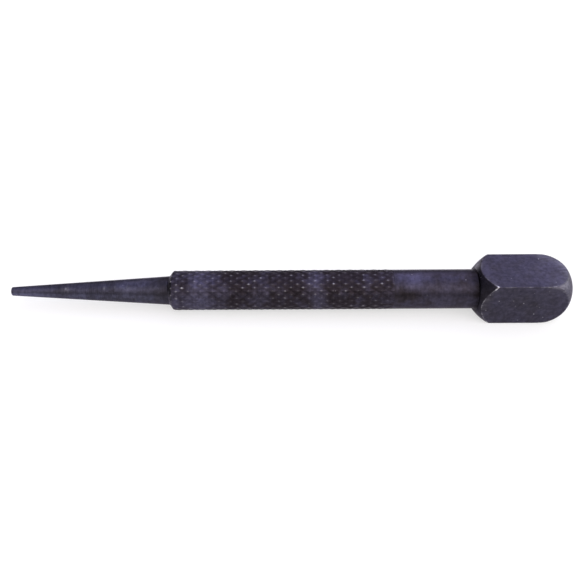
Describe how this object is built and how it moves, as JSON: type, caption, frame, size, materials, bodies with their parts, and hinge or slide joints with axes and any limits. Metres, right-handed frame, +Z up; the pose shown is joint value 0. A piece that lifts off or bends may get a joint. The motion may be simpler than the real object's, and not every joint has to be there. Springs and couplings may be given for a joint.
{
  "type": "square-head nail punch",
  "caption": "Slim blackened steel hand punch with a long cupped taper, a diamond-knurled grip, a plain neck and a square head with a crowned striking end.",
  "frame": {"origin": "on the plane of the head's lower flat, below the middle of the tool's length", "axes": "+X along the tool's axis from the tip to the struck end, +Z up out of the head's top flat, +Y sideways"},
  "size_m": [0.1016, 0.009, 0.009],
  "materials": {
    "point_steel": "fine-turned hardened steel, black oxide with a blue-violet tint",
    "grip_steel": "diamond knurl with lightly worn crests, black oxide",
    "shank_steel": "fine-turned steel, black oxide with a blue-violet tint",
    "head_steel": "drawn flats with softly worn edges, black oxide with a blue-violet tint"
  },
  "bodies": {
    "root": {"tapered_point": "point_steel", "knurled_grip": "grip_steel", "plain_shank": "shank_steel", "square_head": "head_steel"}
  },
  "joints": []
}
